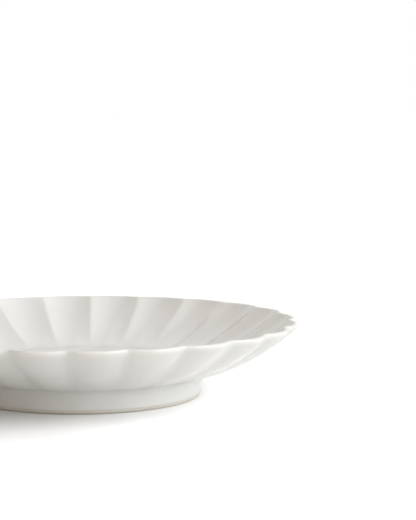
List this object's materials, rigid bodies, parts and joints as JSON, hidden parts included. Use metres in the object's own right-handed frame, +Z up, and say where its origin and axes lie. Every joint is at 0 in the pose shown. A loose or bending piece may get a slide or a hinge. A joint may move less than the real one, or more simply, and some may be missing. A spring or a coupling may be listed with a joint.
{
  "type": "scalloped dessert plate",
  "caption": "Round white porcelain dessert plate with a flat well, a flaring wall of hollow petals that ends in a scalloped lip, and a glazed foot ring with a bare tread.",
  "frame": {"origin": "on the table, under the middle of the plate", "axes": "+Z up through the well, X and Y through the middles of four petals"},
  "size_m": [0.16, 0.16, 0.028],
  "materials": {
    "porcelain": "fired white porcelain body, wholly under the glaze",
    "bare_porcelain": "fired porcelain, matt and a little warmer on the bare tread, ground smooth",
    "slip": "fired slip, sponged smooth, wholly under the glaze",
    "glaze": "warm white satin-gloss glaze, thin on the lip and ridges",
    "base_glaze": "warm white glaze with faint turning rings and a few pinholes"
  },
  "bodies": {
    "root": {"dish": "porcelain", "foot_ring": "bare_porcelain", "slip_seam": "slip", "glaze_coat": "glaze", "base_glaze": "base_glaze"}
  },
  "joints": []
}
